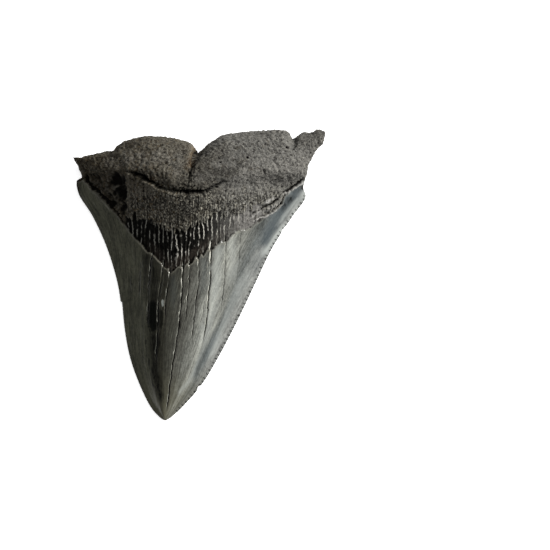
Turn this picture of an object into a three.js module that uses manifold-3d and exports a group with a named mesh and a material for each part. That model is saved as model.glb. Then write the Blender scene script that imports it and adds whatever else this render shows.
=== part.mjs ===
// A megalodon tooth lying on its flat outer (labial) face, with the domed inner (lingual) face up.
// Millimetres. +X runs across the blade, +Y from the tip to the root, +Z up from the surface it lies on.
// The origin is the centre of the tooth's box on that surface.
//
// The tooth grew as one piece, so it is one solid: closed rings are lofted from the tip to the end of
// the root, and the two deep natural clefts of the root are then cut out of the loft.

import * as THREE from 'three';
import { LoftGeometry } from 'three/addons/geometries/LoftGeometry.js';
import { mergeVertices } from 'three/addons/utils/BufferGeometryUtils.js';
import Module from 'manifold-3d';

// ---- Driving dimensions -------------------------------------------------------------------------

const TOOTH_LENGTH = 122; // tip to the highest point of the root, along Y
const TOOTH_WIDTH = 105; // across the two ends of the root, along X
const TOOTH_THICKNESS = 28; // from the resting face to the top of the root's boss

// The tables below draw the tooth at very nearly these sizes, and it is fitted to them at the end.

// The cutting edges and the ends of the root, as [left x, left y, right x, right y] from the tip up.
const EDGE_STATIONS = [
  [-15.0, -61.0, -13.2, -61.0], // the worn tip
  [-19.7, -56.0, -7.5, -56.0],
  [-24.8, -46.0, 1.3, -46.0],
  [-29.0, -34.0, 8.6, -34.0],
  [-31.7, -19.0, 16.5, -19.0],
  [-34.0, -4.0, 23.7, -4.0],
  [-38.5, 11.0, 31.0, 11.0],
  [-44.4, 24.0, 39.4, 24.0],
  [-50.2, 33.5, 44.8, 32.0], // the widest part of the enamel
  [-50.7, 38.7, 43.9, 36.0], // the corners of the enamel
  [-48.7, 40.3, 45.0, 40.1], // the nick where the root begins
  [-50.0, 43.2, 46.6, 45.8],
  [-50.9, 45.1, 48.3, 48.3],
  [-51.6, 46.5, 49.7, 49.8],
  [-52.1, 47.6, 52.2, 51.2],
  [-52.5, 48.7, 52.6, 55.4], // the ends of the root
];

// How far the end of the root rises above the straight line between its two ends, as
// [share of the way from left to right, rise].
const ROOT_END_RISE = [
  [0.0, 0.0],
  [0.04, -0.3],
  [0.12, 1.0],
  [0.16, 1.3],
  [0.2, 4.5],
  [0.25, 6.0],
  [0.29, 6.5],
  [0.34, 6.0],
  [0.39, 5.1],
  [0.44, 3.8],
  [0.475, 1.8],
  [0.5, -1.8], // the dip between the two lobes
  [0.54, 1.7],
  [0.58, 4.2],
  [0.63, 5.4],
  [0.76, 5.6],
  [0.83, 5.4],
  [0.87, 1.6], // a small nick
  [0.91, 3.5],
  [0.95, 3.9],
  [0.975, 5.0],
  [1.0, 3.5],
];
const ROOT_END_FROM = 0.7; // the rise fades in from this share of the length

// Heights along the length, as [y of the middle of the ring, height of the edges above the surface,
// rise of the crest above the edges].
const HEIGHTS = [
  [-61.0, 2.6, 0.5],
  [-56.0, 2.6, 2.6],
  [-46.0, 2.8, 5.4],
  [-34.0, 3.0, 7.6],
  [-19.0, 3.2, 9.8],
  [-4.0, 3.4, 11.6],
  [11.0, 3.8, 13.4],
  [22.0, 4.6, 16.4],
  [30.0, 5.6, 20.4],
  [36.0, 6.6, 21.4],
  [43.0, 7.4, 18.2],
  [50.0, 7.6, 14.0],
  [56.0, 7.6, 11.0],
];

const CREST_AT_TIP = 0.38; // where the crest runs, as a share of the way from the left edge
const CREST_AT_ROOT = 0.48;
const CREST_TURN_Y = 30; // the crest moves over between this far below and above the middle
const BOSS_LAG = 17; // how much further up the root's boss begins at the sides than on the crest
const ENAMEL_TOP_Y = 37; // the enamel ends and the root begins at about this height along the sides
const ROOT_BLEND = 7; // the length over which the blade's section turns into the root's
const END_ROUNDING = 10; // how far the rounding of the root's end reaches back along Y
const TIP_ROUNDING = 2.5; // and that of the tip
const BLADE_FLAT = 0.45; // half-width of the flat outer face, as a share of the half-width
const ROOT_FLAT = 0.7;

// The deep curved cleft that crosses the root, as [x, y] along its middle.
const CROSS_CLEFT = [
  [-29, 41],
  [-21, 38.9],
  [-16, 35.9],
  [-8.5, 33.9],
  [-2, 33.5],
  [4.5, 35.2],
  [11, 37.9],
];
const CROSS_CLEFT_GAP = 1.2;
const CROSS_CLEFT_FLOOR = 18; // its floor, above the surface that the tooth lies on

// The V between the two lobes. Its floor falls from the cross cleft to the root's end.
const LOBE_CLEFT = {
  start: [-2.2, 33, 28], // x, y, z of the floor at the cross cleft
  end: [0.2, 60, 7], // and past the root's end
  halfAngle: THREE.MathUtils.degToRad(30),
  reach: 30, // how high the V stands above its floor
};

// The loft's resolution: steps across one face of a ring, and rings along the length.
const STEPS_ACROSS = 30;
const RINGS = 60;
const RING_CROWDING = 0.1; // rings crowd towards the root's end, where the surface turns fastest

// ---- Helpers --------------------------------------------------------------------------------------

const { clamp, lerp, smoothstep } = THREE.MathUtils;

const wasm = await Module();
wasm.setup();

/** The value of a smooth curve through [position, value, ...] rows, read at a position. */
function readTable(rows, position, column = 1) {
  const last = rows.length - 1;
  const at = clamp(position, rows[0][0], rows[last][0]);
  let i = 0;
  while (i < last - 1 && rows[i + 1][0] < at) i += 1;
  const span = rows[i + 1][0] - rows[i][0];
  const t = (at - rows[i][0]) / span;
  const slope = (k) => {
    const a = Math.max(k - 1, 0);
    const b = Math.min(k + 1, last);
    return (rows[b][column] - rows[a][column]) / (rows[b][0] - rows[a][0]);
  };
  // A cubic Hermite span between the two rows.
  const rise = rows[i + 1][column] - rows[i][column];
  const c = span * slope(i);
  const d = span * slope(i + 1);
  return rows[i][column] + t * (c + t * (3 * rise - 2 * c - d + t * (c + d - 2 * rise)));
}

/** A closed geometry as a manifold solid. */
function toSolid(geometry) {
  const bare = new THREE.BufferGeometry();
  bare.setAttribute('position', geometry.getAttribute('position'));
  bare.setIndex(geometry.getIndex());
  const merged = mergeVertices(bare, 1e-4);
  return new wasm.Manifold(
    new wasm.Mesh({
      numProp: 3,
      vertProperties: new Float32Array(merged.attributes.position.array),
      triVerts: new Uint32Array(merged.index.array),
    }),
  );
}

/** A manifold solid as a geometry. */
function toGeometry(solid) {
  const mesh = solid.getMesh();
  const geometry = new THREE.BufferGeometry();
  geometry.setAttribute('position', new THREE.BufferAttribute(mesh.vertProperties, 3));
  geometry.setIndex(new THREE.BufferAttribute(mesh.triVerts, 1));
  return geometry;
}

// ---- The body of the tooth ------------------------------------------------------------------------

/** The smooth line through one side's stations, given the column that its x is in. */
function edgeCurve(column) {
  const points = EDGE_STATIONS.map((row) => new THREE.Vector3(row[column], row[column + 1], 0));
  return new THREE.CatmullRomCurve3(points, false, 'centripetal');
}

const leftEdge = edgeCurve(0);
const rightEdge = edgeCurve(2);

const middleOf = ([, leftY, , rightY]) => (leftY + rightY) / 2;
const TIP_Y = middleOf(EDGE_STATIONS[0]);
const END_Y = middleOf(EDGE_STATIONS.at(-1));

/** How full the inner face stands at a distance from the crest: 1 on it, and 0 at the edges. */
function domeAcross(fromCrest, rootness) {
  const s = Math.min(fromCrest, 1);
  const blade = 0.45 * (1 - s ** 2.2) + 0.55 * (0.5 + 0.5 * Math.cos(Math.PI * s));
  const root = 0.5 * Math.sqrt(1 - s ** 6) + 0.5 * (1 - s ** 2) ** 1.3;
  return lerp(blade, root, rootness);
}

/** The height of the outer face, as a share of the edge's: 0 on the flat, and 1 at the edges. */
function hollowAcross(share, rootness) {
  const s = Math.min(Math.abs(2 * share - 1), 1);
  const blade = clamp((s - BLADE_FLAT) / (1 - BLADE_FLAT), 0, 1) ** 1.7;
  const root = 1 - Math.sqrt(1 - clamp((s - ROOT_FLAT) / (1 - ROOT_FLAT), 0, 1) ** 3);
  return lerp(blade, root, rootness);
}

/** How full a ring stands at a distance from an end that is rounded like a loaf's: 0 at the end. */
function closing(distance, reach) {
  return Math.sqrt(1 - clamp(1 - distance / reach, 0, 1) ** 2.4);
}

/** One closed ring of points round the tooth, up over the inner face and back under the outer one. */
function ring(t) {
  const left = leftEdge.getPoint(t);
  const right = rightEdge.getPoint(t);
  const middleY = (left.y + right.y) / 2;
  const edgeHeight = readTable(HEIGHTS, middleY, 1);
  const rootness = smoothstep(middleY, ENAMEL_TOP_Y, ENAMEL_TOP_Y + ROOT_BLEND);
  const crest = lerp(CREST_AT_TIP, CREST_AT_ROOT, smoothstep(middleY, -CREST_TURN_Y, CREST_TURN_Y));
  const fullness = closing(middleY - TIP_Y, TIP_ROUNDING) * closing(END_Y - middleY, END_ROUNDING);

  const upper = [];
  const lower = [];
  for (let i = 0; i <= STEPS_ACROSS; i += 1) {
    const share = 0.5 - 0.5 * Math.cos((Math.PI * i) / STEPS_ACROSS);
    const point = left.clone().lerp(right, share);
    point.y += smoothstep(t, ROOT_END_FROM, 1) * readTable(ROOT_END_RISE, share);

    const fromCrest = share < crest ? 1 - share / crest : (share - crest) / (1 - crest);
    const bossY = middleY - BOSS_LAG * (1 - rootness) * fromCrest ** 2;
    const rise = readTable(HEIGHTS, bossY, 2) * domeAcross(fromCrest, rootness);
    upper.push(new THREE.Vector3(point.x, point.y, edgeHeight + rise * fullness));

    // The two faces share the points on the edges.
    if (i === 0 || i === STEPS_ACROSS) continue;
    const drop = (1 - hollowAcross(share, rootness)) * fullness;
    lower.push(new THREE.Vector3(point.x, point.y, edgeHeight * (1 - drop)));
  }
  return [...upper, ...lower.reverse()];
}

/** The loft. Its first and last rings are closed to a line, so it needs no caps. */
function toothBody() {
  const rings = [];
  for (let i = 0; i <= RINGS; i += 1) {
    const even = i / RINGS;
    rings.push(ring(even + RING_CROWDING * Math.sin(Math.PI * even)));
  }
  return new LoftGeometry(rings);
}

// ---- The clefts of the root -----------------------------------------------------------------------

/** The blade that opens the cross cleft: a slit in plan, pointed at both ends. */
function crossCleft() {
  const middle = new THREE.SplineCurve(CROSS_CLEFT.map(([x, y]) => new THREE.Vector2(x, y)));
  const steps = 24;
  const upperSide = [];
  const lowerSide = [];
  for (let i = 0; i <= steps; i += 1) {
    const along = i / steps;
    const at = middle.getPoint(along);
    const halfGap = 0.5 * CROSS_CLEFT_GAP * Math.sin(Math.PI * along) ** 0.5;
    upperSide.push(new THREE.Vector2(at.x, at.y + halfGap));
    if (i === 0 || i === steps) continue;
    lowerSide.push(new THREE.Vector2(at.x, at.y - halfGap));
  }
  const slit = new THREE.Shape([...lowerSide, ...upperSide.reverse()]);
  const blade = new THREE.ExtrudeGeometry(slit, { depth: TOOTH_THICKNESS, bevelEnabled: false });
  return toSolid(blade.translate(0, 0, CROSS_CLEFT_FLOOR));
}

/** The wedge that parts the lobes: a V, pushed along the line of its own floor. */
function lobeCleft() {
  const { start, end, halfAngle, reach } = LOBE_CLEFT;
  const halfWidth = reach * Math.tan(halfAngle);
  const v = new THREE.Shape([
    new THREE.Vector2(0, 0),
    new THREE.Vector2(halfWidth, reach),
    new THREE.Vector2(-halfWidth, reach),
  ]);
  const from = new THREE.Vector3(...start);
  const to = new THREE.Vector3(...end);
  const wedge = new THREE.ExtrudeGeometry(v, { depth: from.distanceTo(to), bevelEnabled: false });
  // The V is drawn upright, with its depth along the line from the root's end back to the start.
  const back = from.clone().sub(to).normalize();
  const side = new THREE.Vector3().crossVectors(new THREE.Vector3(0, 0, 1), back).normalize();
  const up = new THREE.Vector3().crossVectors(back, side);
  wedge.applyMatrix4(new THREE.Matrix4().makeBasis(side, up, back).setPosition(to));
  return toSolid(wedge);
}

// ---- The tooth ------------------------------------------------------------------------------------

/** Fit a geometry to the driving dimensions, centred over the origin with its lowest face at z = 0. */
function fitToSize(geometry) {
  geometry.computeBoundingBox();
  const size = geometry.boundingBox.getSize(new THREE.Vector3());
  const centre = geometry.boundingBox.getCenter(new THREE.Vector3());
  geometry.translate(-centre.x, -centre.y, -geometry.boundingBox.min.z);
  geometry.scale(TOOTH_WIDTH / size.x, TOOTH_LENGTH / size.y, TOOTH_THICKNESS / size.z);
  geometry.computeVertexNormals();
  return geometry;
}

const body = toSolid(toothBody());
const carved = body.subtract(crossCleft()).subtract(lobeCleft());

const tooth = new THREE.Mesh(
  fitToSize(toGeometry(carved)),
  new THREE.MeshStandardMaterial({ color: 0x4a4943, roughness: 0.6, metalness: 0 }),
);
tooth.name = 'tooth';

const megalodonTooth = new THREE.Group();
megalodonTooth.add(tooth);
export default megalodonTooth;
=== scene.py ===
# %% [markdown]
# # A megalodon tooth, from one loft
#
# The thing on the table is a fossil shark tooth as long as a hand: a glossy enamel blade with saw-toothed
# edges, and a rough root that bulges behind it. It lies on its flat outer face, so its domed inner face,
# the one with the swollen root, looks up at the camera.
#
# The lesson builds it the way a sculptor would. First comes the big form, a stack of rings from tip to
# root. Then the large folds are pressed in, then the cracks, then the grain, and only then the colours.
#
# Lengths in this file are in millimetres until the mesh is made, where they turn into metres.

import bpy
import numpy as np
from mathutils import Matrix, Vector


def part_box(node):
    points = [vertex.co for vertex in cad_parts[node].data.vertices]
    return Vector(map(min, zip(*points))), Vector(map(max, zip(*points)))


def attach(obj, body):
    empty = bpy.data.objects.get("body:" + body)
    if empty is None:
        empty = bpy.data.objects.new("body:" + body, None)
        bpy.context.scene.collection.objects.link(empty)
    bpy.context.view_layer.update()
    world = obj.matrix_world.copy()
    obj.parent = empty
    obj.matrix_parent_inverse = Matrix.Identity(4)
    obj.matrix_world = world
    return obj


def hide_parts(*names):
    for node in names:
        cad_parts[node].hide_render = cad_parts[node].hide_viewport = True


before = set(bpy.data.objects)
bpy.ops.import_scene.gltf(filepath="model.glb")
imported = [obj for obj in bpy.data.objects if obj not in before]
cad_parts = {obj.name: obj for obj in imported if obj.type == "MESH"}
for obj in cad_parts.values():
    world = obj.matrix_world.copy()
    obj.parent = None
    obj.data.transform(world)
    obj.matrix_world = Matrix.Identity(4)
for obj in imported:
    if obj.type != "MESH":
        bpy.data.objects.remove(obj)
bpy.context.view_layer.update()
MM = 1000  # millimetres in a metre
LOW, HIGH = (np.array(corner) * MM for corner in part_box("tooth"))
print("the packed tooth measures", np.round(HIGH - LOW, 1), "mm")

# %% [markdown]
# ## The table, the lights and the camera
#
# The tooth is seen from straight above, on a pale table. One broad soft lamp stands low on the right,
# so the flank that falls away to the left goes dark and the grain of the root throws small shadows. A
# little light from all round keeps those shadows open. A long lens keeps the tall root from leaning.

# %% A pale table
bpy.ops.mesh.primitive_plane_add(size=6, location=(0, 0, LOW[2] / MM))
table = bpy.context.object
table.name = "table"
table_finish = bpy.data.materials.new("pale table")
table_finish.use_nodes = True
surface = table_finish.node_tree.nodes["Principled BSDF"].inputs
surface["Base Color"].default_value = (0.9, 0.9, 0.9, 1)
surface["Roughness"].default_value = 0.9
surface["Emission Color"].default_value = (1, 1, 1, 1)
surface["Emission Strength"].default_value = 0.75  # a light table: it washes out the tooth's shadow
table.data.materials.append(table_finish)
print(f"the table lies at a height of {LOW[2]:.1f} mm")

# %% Lamps and the room's own light
def area_lamp(name, place, aim, size, watts, colour=(1, 1, 1)):
    """A square soft lamp at a place, turned to face aim, all in metres."""
    lamp = bpy.data.objects.new(name, bpy.data.lights.new(name, "AREA"))
    lamp.data.size = size
    lamp.data.energy = watts
    lamp.data.color = colour
    lamp.location = place
    direction = Vector(aim) - Vector(place)
    lamp.rotation_euler = direction.to_track_quat("-Z", "Y").to_euler()
    bpy.context.scene.collection.objects.link(lamp)
    print(f"the {name} lamp stands {direction.length:.2f} m from the tooth")


area_lamp("key", (0.98, 0.5, 0.52), (0, 0, 0.01), 0.4, 30, (1.0, 0.99, 0.97))
area_lamp("top", (0.25, 0.3, 1.5), (0, 0, 0), 0.8, 5)

world = bpy.data.worlds.new("room")
world.use_nodes = True
world.node_tree.nodes["Background"].inputs["Color"].default_value = (0.95, 0.97, 1.0, 1)
world.node_tree.nodes["Background"].inputs["Strength"].default_value = 0.24
bpy.context.scene.world = world
bpy.context.scene.view_settings.view_transform = "Standard"

# %% The camera
VIEW_CENTRE = (0.0319, 0.0)  # the tooth lies left of the view's middle
VIEW_WIDTH = 0.231
CAMERA_HEIGHT = 1.1

camera = bpy.data.objects.new("camera", bpy.data.cameras.new("camera"))
camera.data.sensor_width = 36
camera.data.lens = camera.data.sensor_width * CAMERA_HEIGHT / VIEW_WIDTH
camera.location = (*VIEW_CENTRE, CAMERA_HEIGHT)
bpy.context.scene.collection.objects.link(camera)
bpy.context.scene.camera = camera
print(f"the lens is {camera.data.lens:.0f} mm")

# %% [markdown]
# ## Curves that are drawn once
#
# The tooth's outline is two lines of stations, one up each cutting edge and on to the ends of the root.
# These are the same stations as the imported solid's, so the fine tooth lies where the solid does. A smooth
# curve through a few good points is easier to get right than many points.

# %% Read a smooth curve through a few rows
def read_table(rows, position, column=1):
    """The value of a smooth curve through [position, value, ...] rows, at an array of positions."""
    rows = np.array(rows, float)
    knots, values = rows[:, 0], rows[:, column]
    at = np.clip(position, knots[0], knots[-1])
    i = np.clip(np.searchsorted(knots, at, side="right") - 1, 0, len(knots) - 2)
    before = np.maximum(np.arange(len(knots)) - 1, 0)
    after = np.minimum(np.arange(len(knots)) + 1, len(knots) - 1)
    slopes = (values[after] - values[before]) / (knots[after] - knots[before])
    span = knots[i + 1] - knots[i]
    t = (at - knots[i]) / span
    rise = values[i + 1] - values[i]
    c, d = span * slopes[i], span * slopes[i + 1]
    return values[i] + t * (c + t * (3 * rise - 2 * c - d + t * (c + d - 2 * rise)))


def catmull_rom(points, t):
    """Points at shares t of a centripetal Catmull-Rom curve."""
    points = np.array(points, float)
    ends = [2 * points[0] - points[1]], [2 * points[-1] - points[-2]]
    knots = np.concatenate([ends[0], points, ends[1]])
    place = np.clip(t, 0, 1) * (len(points) - 1)
    i = np.minimum(place.astype(int), len(points) - 2)
    w = (place - i)[:, None]
    p0, p1, p2, p3 = (knots[i + k] for k in range(4))
    d0, d1, d2 = (np.linalg.norm(b - a, axis=1)[:, None] ** 0.5 for a, b in ((p0, p1), (p1, p2), (p2, p3)))
    m1 = ((p1 - p0) / d0 - (p2 - p0) / (d0 + d1) + (p2 - p1) / d1) * d1
    m2 = ((p2 - p1) / d1 - (p3 - p1) / (d1 + d2) + (p3 - p2) / d2) * d1
    return p1 + w * (m1 + w * (3 * (p2 - p1) - 2 * m1 - m2 + w * (2 * (p1 - p2) + m1 + m2)))


def smoothstep(x, low, high):
    t = np.clip((x - low) / (high - low), 0, 1)
    return t * t * (3 - 2 * t)


def mix(a, b, share):
    return a + (b - a) * share


def bell(distance, width):
    """1 at no distance, falling softly away to nearly nothing at twice the width."""
    return np.exp(-((distance / width) ** 2))


def lengths_along(points):
    """How far each of a row of points lies along the line through them all."""
    return np.concatenate([[0], np.cumsum(np.linalg.norm(np.diff(points, axis=0), axis=1))])


# %% The stations of the outline
EDGE_STATIONS = np.array([  # left x, left y, right x, right y, from the tip up
    [-15.0, -61.0, -13.2, -61.0],  # the worn tip
    [-19.7, -56.0, -7.5, -56.0],
    [-24.8, -46.0, 1.3, -46.0],
    [-29.0, -34.0, 8.6, -34.0],
    [-31.7, -19.0, 16.5, -19.0],
    [-34.0, -4.0, 23.7, -4.0],
    [-38.5, 11.0, 31.0, 11.0],
    [-44.4, 24.0, 39.4, 24.0],
    [-50.2, 33.5, 44.8, 32.0],  # the widest part of the enamel
    [-50.7, 38.7, 43.9, 36.0],  # the corners of the enamel
    [-48.7, 40.3, 45.0, 40.1],  # the nick where the root begins
    [-50.0, 43.2, 46.6, 45.8],
    [-50.9, 45.1, 48.3, 48.3],
    [-51.6, 46.5, 49.7, 49.8],
    [-52.1, 47.6, 52.2, 51.2],
    [-52.5, 48.7, 52.6, 55.4],  # the ends of the root
])

ROOT_END_RISE = [  # share of the way across, rise of the root's end above the line between its two ends
    [0.0, 0.0], [0.04, -0.3], [0.12, 1.0], [0.162, 1.2], [0.175, 2.8], [0.205, 4.7], [0.25, 6.0],
    [0.29, 6.5], [0.34, 6.0], [0.39, 5.1], [0.44, 3.8], [0.475, 1.8],
    [0.497, -1.8], [0.505, -1.4],  # the notch between the two lobes
    [0.54, 1.7], [0.58, 4.2], [0.63, 5.4], [0.76, 5.6], [0.83, 5.6], [0.862, 3.9],
    [0.873, 1.4],  # a small nick
    [0.907, 3.5], [0.955, 3.9], [0.975, 5.0], [1.0, 3.5],
]

HEIGHTS = [  # y of the middle of the ring, height of the edges, rise of the crest above the edges
    [-61.0, 2.6, 0.5], [-56.0, 2.6, 2.6], [-46.0, 2.8, 5.4], [-34.0, 3.0, 7.6], [-19.0, 3.2, 9.8],
    [-4.0, 3.4, 11.6], [11.0, 3.8, 13.4], [22.0, 4.6, 16.4], [30.0, 5.6, 20.4], [36.0, 6.6, 21.4],
    [43.0, 7.4, 18.2], [50.0, 7.6, 14.0], [56.0, 7.6, 11.0],
]

# %% [markdown]
# ## Rings from tip to root
#
# Each ring starts at the left cutting edge, crosses over the domed inner face, and comes back under the
# flat outer one. A subdivision surface over a coarse cage could give the same form, but rings have a
# great advantage here: every point knows how far across and how far along the tooth it is. Cracks,
# streaks and saw teeth all follow those two directions, so they can be drawn with them.

# %% Place the rings
ROWS = 820  # rings along the tooth
COLUMNS = 380  # steps across one face
EVENLY = 0.45  # 0 crowds the columns towards the edges, 1 spreads them evenly
TIP_Y = EDGE_STATIONS[0, 1::2].mean()
END_Y = EDGE_STATIONS[-1, 1::2].mean()
TIP_ROUNDING = 2.5
END_ROUNDING = 10.0
TIP_CORNERS = 1.6


def closing(distance, reach):
    """How full a ring stands at a distance from an end that is rounded like a loaf's: 0 at the end."""
    return np.sqrt(1 - np.clip(1 - distance / reach, 0, 1) ** 2.4)


def even_rows(rows):
    """Values of t from 0 to 1 whose rings lie evenly spaced over the ground they climb."""
    t = np.linspace(0, 1, 4001)
    left = catmull_rom(EDGE_STATIONS[:, :2], t)
    right = catmull_rom(EDGE_STATIONS[:, 2:], t)
    middle = (left + right) / 2
    height = read_table(HEIGHTS, middle[:, 1], 2) * closing(END_Y - middle[:, 1], END_ROUNDING)
    ridge = np.column_stack([middle, height])
    steps = sum(np.linalg.norm(np.diff(line, axis=0), axis=1) for line in (ridge, right))
    along = np.concatenate([[0], np.cumsum(steps)]) / steps.sum()
    return np.interp(np.linspace(0, 1, rows), along, t)


row_t = even_rows(ROWS)
step = np.linspace(0, 1, COLUMNS + 1)
share = mix(0.5 - 0.5 * np.cos(np.pi * step), step, EVENLY)
# Once round the ring: over the inner face, then back under the outer one.
SHARE = np.concatenate([share, share[-2:0:-1]])[None, :]
UPPER = (np.arange(2 * COLUMNS) <= COLUMNS)[None, :]
T = row_t[:, None]
print(f"{ROWS} rings of {2 * COLUMNS} points")

# %% The body of the tooth
left_edge = catmull_rom(EDGE_STATIONS[:, :2], row_t)[:, None, :]
right_edge = catmull_rom(EDGE_STATIONS[:, 2:], row_t)[:, None, :]
tip_width = closing(left_edge[..., 1] - TIP_Y, TIP_CORNERS)[..., None]
tip_middle = (left_edge + right_edge) / 2
left_edge, right_edge = (tip_middle + (edge - tip_middle) * tip_width for edge in (left_edge, right_edge))
plan = mix(left_edge, right_edge, SHARE[..., None])
X = plan[..., 0]
Y = plan[..., 1] + smoothstep(T, 0.7, 1) * read_table(ROOT_END_RISE, SHARE)
middle_y = (left_edge + right_edge)[..., 1] / 2

rootness = smoothstep(middle_y, 37, 44)
crest = mix(0.38, 0.48, smoothstep(middle_y, -30, 30))
from_crest = np.where(SHARE < crest, 1 - SHARE / crest, (SHARE - crest) / (1 - crest)).clip(0, 1)
fullness = closing(middle_y - TIP_Y, TIP_ROUNDING) * closing(END_Y - middle_y, END_ROUNDING)


def dome_across(s):
    blade = 0.45 * (1 - s**2.2) + 0.55 * (0.5 + 0.5 * np.cos(np.pi * s))
    root = 0.5 * np.sqrt(1 - s**6) + 0.5 * (1 - s**2) ** 1.3
    return mix(blade, root, rootness)


def hollow_across(s):
    blade = ((s - 0.45) / 0.55).clip(0, 1) ** 1.7
    root = 1 - np.sqrt(1 - ((s - 0.7) / 0.3).clip(0, 1) ** 3)
    return mix(blade, root, rootness)


edge_height = read_table(HEIGHTS, middle_y, 1)
boss_y = middle_y - 17 * (1 - rootness) * from_crest**2
rise = read_table(HEIGHTS, boss_y, 2) * dome_across(from_crest) * fullness
drop = (1 - hollow_across(np.abs(2 * SHARE - 1).clip(0, 1))) * fullness
Z = np.where(UPPER, edge_height + rise, edge_height * (1 - drop))
print(f"the plain body is {np.ptp(X):.1f} by {np.ptp(Y):.1f} by {np.ptp(Z):.1f} mm")

# %% [markdown]
# ## Noise to draw with
#
# Real surfaces are uneven at many sizes at once. Blender's own noise could be sampled point by point, but
# an array of random numbers, read between its entries, does it for half a million points at a time.
# Stretching the coordinates before reading makes the lumps long and thin, which gives fibres and streaks.

# %% Smooth noise and cells
rng = np.random.default_rng(11)
LATTICE = 64
lattice = rng.uniform(-1, 1, (LATTICE, LATTICE, LATTICE))
jitter = rng.uniform(0, 1, (LATTICE, LATTICE, LATTICE, 3))


def noise(x, y, z, size, seed=0):
    """Smooth noise from about -1 to 1. size is that of the lumps: one number, or one for each axis."""
    sizes = np.broadcast_to(size, 3)
    p = [np.asarray(a) / s + 17.3 * seed + 5.1 * k for k, (a, s) in enumerate(zip((x, y, z), sizes))]
    p = np.broadcast_arrays(*p)
    cell = [np.floor(a).astype(int) for a in p]
    f = [a - c for a, c in zip(p, cell)]
    f = [a * a * a * (a * (a * 6 - 15) + 10) for a in f]
    total = 0
    for i, j, k in np.ndindex(2, 2, 2):  # the corners of the cell that each point lies in
        weight = (f[0] if i else 1 - f[0]) * (f[1] if j else 1 - f[1]) * (f[2] if k else 1 - f[2])
        total = total + weight * lattice[
            (cell[0] + i) % LATTICE, (cell[1] + j) % LATTICE, (cell[2] + k) % LATTICE]
    return total


def rough_noise(x, y, z, size, octaves, seed=0):
    """Noise with finer and weaker noise added to it, octave by octave."""
    sizes = np.broadcast_to(size, 3).astype(float)
    total, weight = 0, 1.0
    for octave in range(octaves):
        total = total + weight * noise(x, y, z, sizes / 2**octave, seed + octave)
        weight *= 0.55
    return total


def nearest_cell(x, y, z, size, seed=0):
    """Distance to the nearest of many scattered points, in units of their spacing."""
    p = np.stack(np.broadcast_arrays(x, y, z), -1) / size + 9.7 * seed
    cell = np.floor(p).astype(int)
    best = np.full(p.shape[:-1], 9.0)
    for neighbour in np.ndindex(3, 3, 3):
        c = cell + np.subtract(neighbour, 1)
        spot = c + jitter[c[..., 0] % LATTICE, c[..., 1] % LATTICE, c[..., 2] % LATTICE]
        best = np.minimum(best, np.linalg.norm(p - spot, axis=-1))
    return best


# %% [markdown]
# ## A map to draw on
#
# Every feature below is drawn on a flat map of the tooth, as the eye sees it from straight above.
# A point that stands high looks a little further out than it is, so each point first learns where it lies
# on that map. This way one drawing serves the tall root and the low tip alike.

# %% Find each point on the map
eye_x = VIEW_CENTRE[0] * MM
nearer = CAMERA_HEIGHT * MM / (CAMERA_HEIGHT * MM - Z)
MAP_X = eye_x + (X - eye_x) * nearer
MAP_Y = Y * nearer
print(f"the tallest point lies {np.abs(MAP_X - X).max():.1f} mm further out on the map")

# %% Distance from a drawn line
def along_line(points, x, y, samples=160):
    """Signed distance from a smooth line, positive to its left, and the share of the way along it."""
    line = catmull_rom(points, np.linspace(0, 1, samples))
    best = np.full(x.shape, np.inf)
    side = np.zeros(x.shape)
    way = np.zeros(x.shape)
    for k in range(samples - 1):
        a, b = line[k], line[k + 1]
        d = b - a
        u = (((x - a[0]) * d[0] + (y - a[1]) * d[1]) / (d @ d)).clip(0, 1)
        dx, dy = x - a[0] - u * d[0], y - a[1] - u * d[1]
        distance = np.hypot(dx, dy)
        closer = distance < best
        best = np.where(closer, distance, best)
        side = np.where(closer, np.sign(d[0] * dy - d[1] * dx), side)
        way = np.where(closer, (k + u) / (samples - 1), way)
    return best * side, way


def near(points, margin):
    """Which points lie within a margin of the box around some drawn ones, and their places on the map."""
    low = np.min(points, axis=0) - margin
    high = np.max(points, axis=0) + margin
    beside = UPPER & (MAP_X > low[0]) & (MAP_X < high[0]) & (MAP_Y > low[1]) & (MAP_Y < high[1])
    return beside, MAP_X[beside], MAP_Y[beside]


def tapering(way, sharpness=0.5):
    """1 along the middle of a line, fading to 0 at both its ends."""
    return np.sin(np.pi * way.clip(0.01, 0.99)) ** sharpness


# %% [markdown]
# ## Cracks in the enamel
#
# As the tooth dried, its enamel split lengthwise into slats. Each crack gets a dark gap of painted shade
# and one pale rim, a painted highlight on the side that faces the lamp. A crack is a smooth line from the
# enamel's border towards the tip, and each point of the blade keeps its distance from the nearest one.
# The relief and the colours then read the same distance.

# %% Draw the cracks
CRACKS = [  # strength, then y and x of its points from the lower end up
    (0.55, [[-13, -25.6], [-4, -25.3], [3, -24.8]]),
    (0.9, [[-24, -21.9], [-13.2, -21.5], [-3, -21.2], [8.0, -20.2]]),
    (0.8, [[-41, -18.9], [-29.6, -18.0], [-14.9, -17.4], [-4.4, -16.4], [4.5, -15.2]]),
    (0.7, [[-21, -14.7], [-8.2, -13.8], [2.0, -12.1]]),
    (1.0, [[-59, -14.1], [-51, -13.0], [-41.4, -11.8], [-33.8, -10.5], [-20.8, -8.7], [-8.2, -7.4],
           [3.6, -6.9]]),
    (0.8, [[-21, -6.1], [-8.2, -4.8], [4.4, -4.0]]),
    (0.85, [[-30, -3.7], [-21.2, -2.7], [-13.7, -1.7], [-3.6, -0.5], [7.0, -0.3]]),
    (0.55, [[-29, -1.6], [-22, 0.0], [-15, 1.6]]),
    (1.0, [[-30, 0.8], [-20.8, 2.9], [-9.9, 3.8], [0.6, 4.6], [12, 5.1]]),
    (0.6, [[-17, 8.4], [-8.2, 9.7], [2.3, 10.5], [15, 11.3]]),
    (0.3, [[-4, 15.3], [2.3, 16.2], [17, 17.1]]),
]
CRACK_REACH = 1.0  # beyond this a crack has no say, so none shows midway between two of them
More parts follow.
